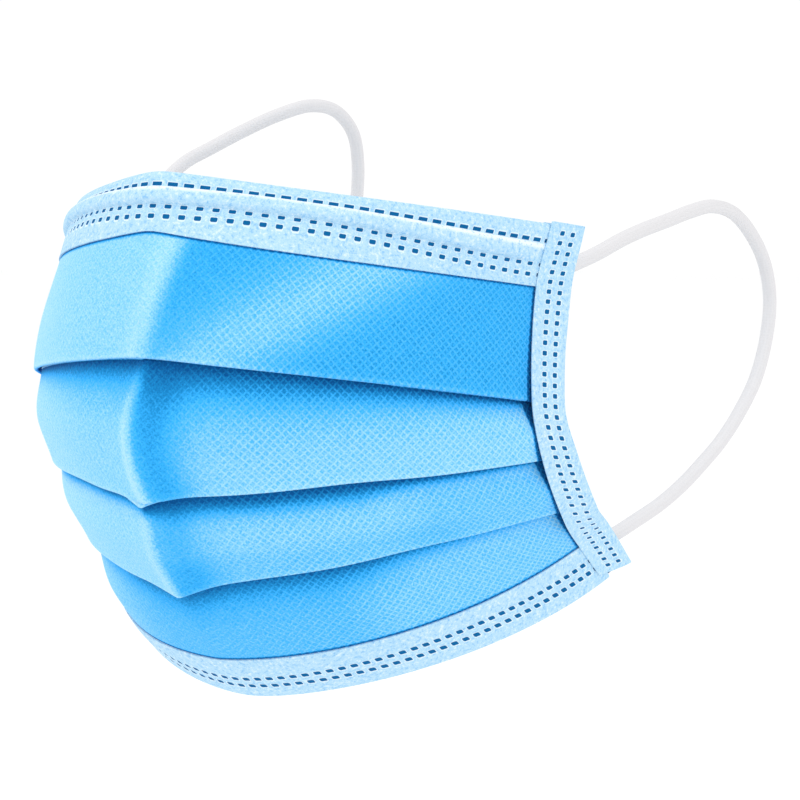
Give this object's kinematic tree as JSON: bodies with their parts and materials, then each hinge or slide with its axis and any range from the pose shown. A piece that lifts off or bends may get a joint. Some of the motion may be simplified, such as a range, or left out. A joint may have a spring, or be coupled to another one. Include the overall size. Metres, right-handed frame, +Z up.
{
  "type": "surgical face mask",
  "caption": "Pleated blue face mask with white folded hems and side bindings, a covered nose wire and round elastic ear loops, held open as it is worn.",
  "frame": {"origin": "middle of the opening that the face goes into, halfway between the side bindings", "axes": "+X to the wearer's left, +Y from the nose back to the ears, +Z up"},
  "size_m": [0.1231, 0.1627, 0.1206],
  "materials": {
    "blue_cloth": "matt spunbonded cloth with a fine diamond emboss",
    "white_cloth": "matt blue-white spunbonded cloth with rows of weld dashes",
    "wire": "plain plastic-covered wire",
    "elastic": "soft round knitted elastic"
  },
  "bodies": {
    "root": {"pleated_cloth": "blue_cloth", "top_hem": "white_cloth", "bottom_hem": "white_cloth", "nose_wire": "wire", "side_binding_left": "white_cloth", "side_binding_right": "white_cloth", "loop_weld_left_top": "elastic", "loop_weld_left_bottom": "elastic", "loop_weld_right_top": "elastic", "loop_weld_right_bottom": "elastic", "ear_loop_left": "elastic", "ear_loop_right": "elastic"}
  },
  "joints": []
}
